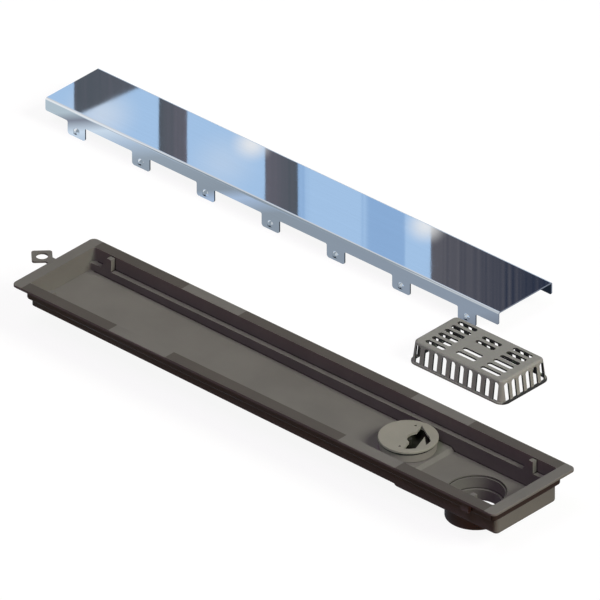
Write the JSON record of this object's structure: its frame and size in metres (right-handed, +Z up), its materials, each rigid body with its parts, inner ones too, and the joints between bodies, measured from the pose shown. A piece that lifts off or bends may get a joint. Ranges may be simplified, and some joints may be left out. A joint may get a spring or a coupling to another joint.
{
  "type": "linear shower drain",
  "caption": "Linear shower drain set out in pieces: flanged channel with outlet spigot, folded steel cover, slotted hair strainer and round outlet insert.",
  "frame": {"origin": "on the outlet axis, at the lower end of the outlet spigot", "axes": "+X along the channel towards its outlet end, +Y across the channel towards the cover and strainer that are set down behind it, +Z up"},
  "size_m": [0.731, 0.3277, 0.0472],
  "materials": {
    "channel_plastic": "moulded, fine matt grain",
    "strainer_plastic": "moulded, fine matt grain",
    "insert_plastic": "moulded, satin",
    "seal_rubber": "matt black",
    "cover_steel": "mirror polished"
  },
  "bodies": {
    "root": {"channel_body": "channel_plastic", "cover_plate": "cover_steel", "hair_strainer": "strainer_plastic", "insert_cap": "insert_plastic", "insert_body": "insert_plastic", "insert_seal": "seal_rubber"}
  },
  "joints": []
}
